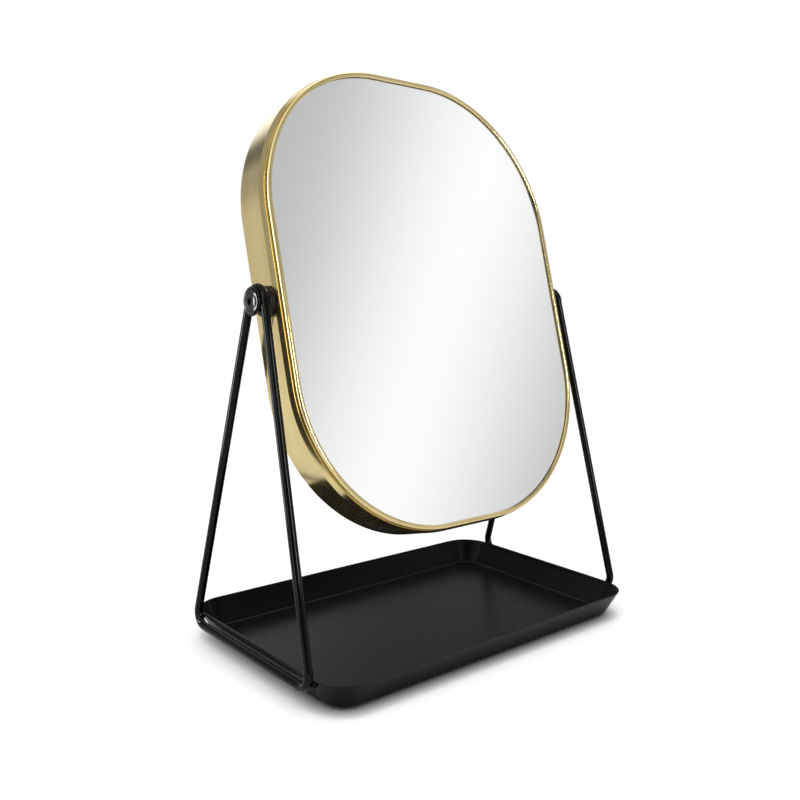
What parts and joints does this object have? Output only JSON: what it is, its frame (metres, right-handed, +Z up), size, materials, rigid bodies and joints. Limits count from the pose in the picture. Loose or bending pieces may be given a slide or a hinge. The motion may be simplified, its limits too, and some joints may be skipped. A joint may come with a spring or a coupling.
{
  "type": "tilting vanity mirror with tray",
  "caption": "Tabletop vanity mirror in a rounded brushed-gold frame that tilts between wire side frames above a shallow open tray.",
  "frame": {"origin": "on the table surface under the middle of the tray, at the middle of the whole object's footprint", "axes": "+Z up, +X to the right as seen from the front, -Y towards the front, where the glass faces"},
  "size_m": [0.2604, 0.158, 0.3493],
  "materials": {
    "tray_black": "satin black powder coat on pressed steel",
    "wire_black": "semi-gloss black powder coat on steel wire",
    "pad_rubber": "matt black foot pads",
    "brushed_gold": "fine brushed pale gold, clear lacquered",
    "silvered_glass": "polished, silvered on the back",
    "grey_foam": "soft closed-cell foam",
    "fibreboard": "raw medium-density fibreboard",
    "cover_black": "fine matt black powder coat",
    "zinc_steel": "zinc-plated screws",
    "washer_nylon": "black nylon",
    "bush_black": "satin-gloss black moulded plastic",
    "screw_black": "black plated steel, low gloss",
    "insert_brass": "machined brass"
  },
  "bodies": {
    "stand": {"tray": "tray_black", "foot_pads": "pad_rubber", "weld_beads": "wire_black", "left_wire_frame": "wire_black", "right_wire_frame": "wire_black", "left_pivot_lug": "wire_black", "right_pivot_lug": "wire_black"},
    "mirror_head": {"mirror_frame": "brushed_gold", "mirror_glass": "silvered_glass", "foam_pad": "grey_foam", "core_board": "fibreboard", "rear_cover": "cover_black", "cover_screws": "zinc_steel", "left_friction_washer": "washer_nylon", "right_friction_washer": "washer_nylon", "left_pivot_bush": "bush_black", "right_pivot_bush": "bush_black", "left_pivot_washer": "screw_black", "right_pivot_washer": "screw_black", "left_pivot_screw": "screw_black", "right_pivot_screw": "screw_black", "left_threaded_insert": "insert_brass", "right_threaded_insert": "insert_brass"}
  },
  "joints": [
    {"name": "mirror_tilt", "type": "hinge", "parent": "stand", "child": "mirror_head", "pos_m": [0, 0, 0.2105], "axis": [1, 0, 0], "continuous": true}
  ]
}
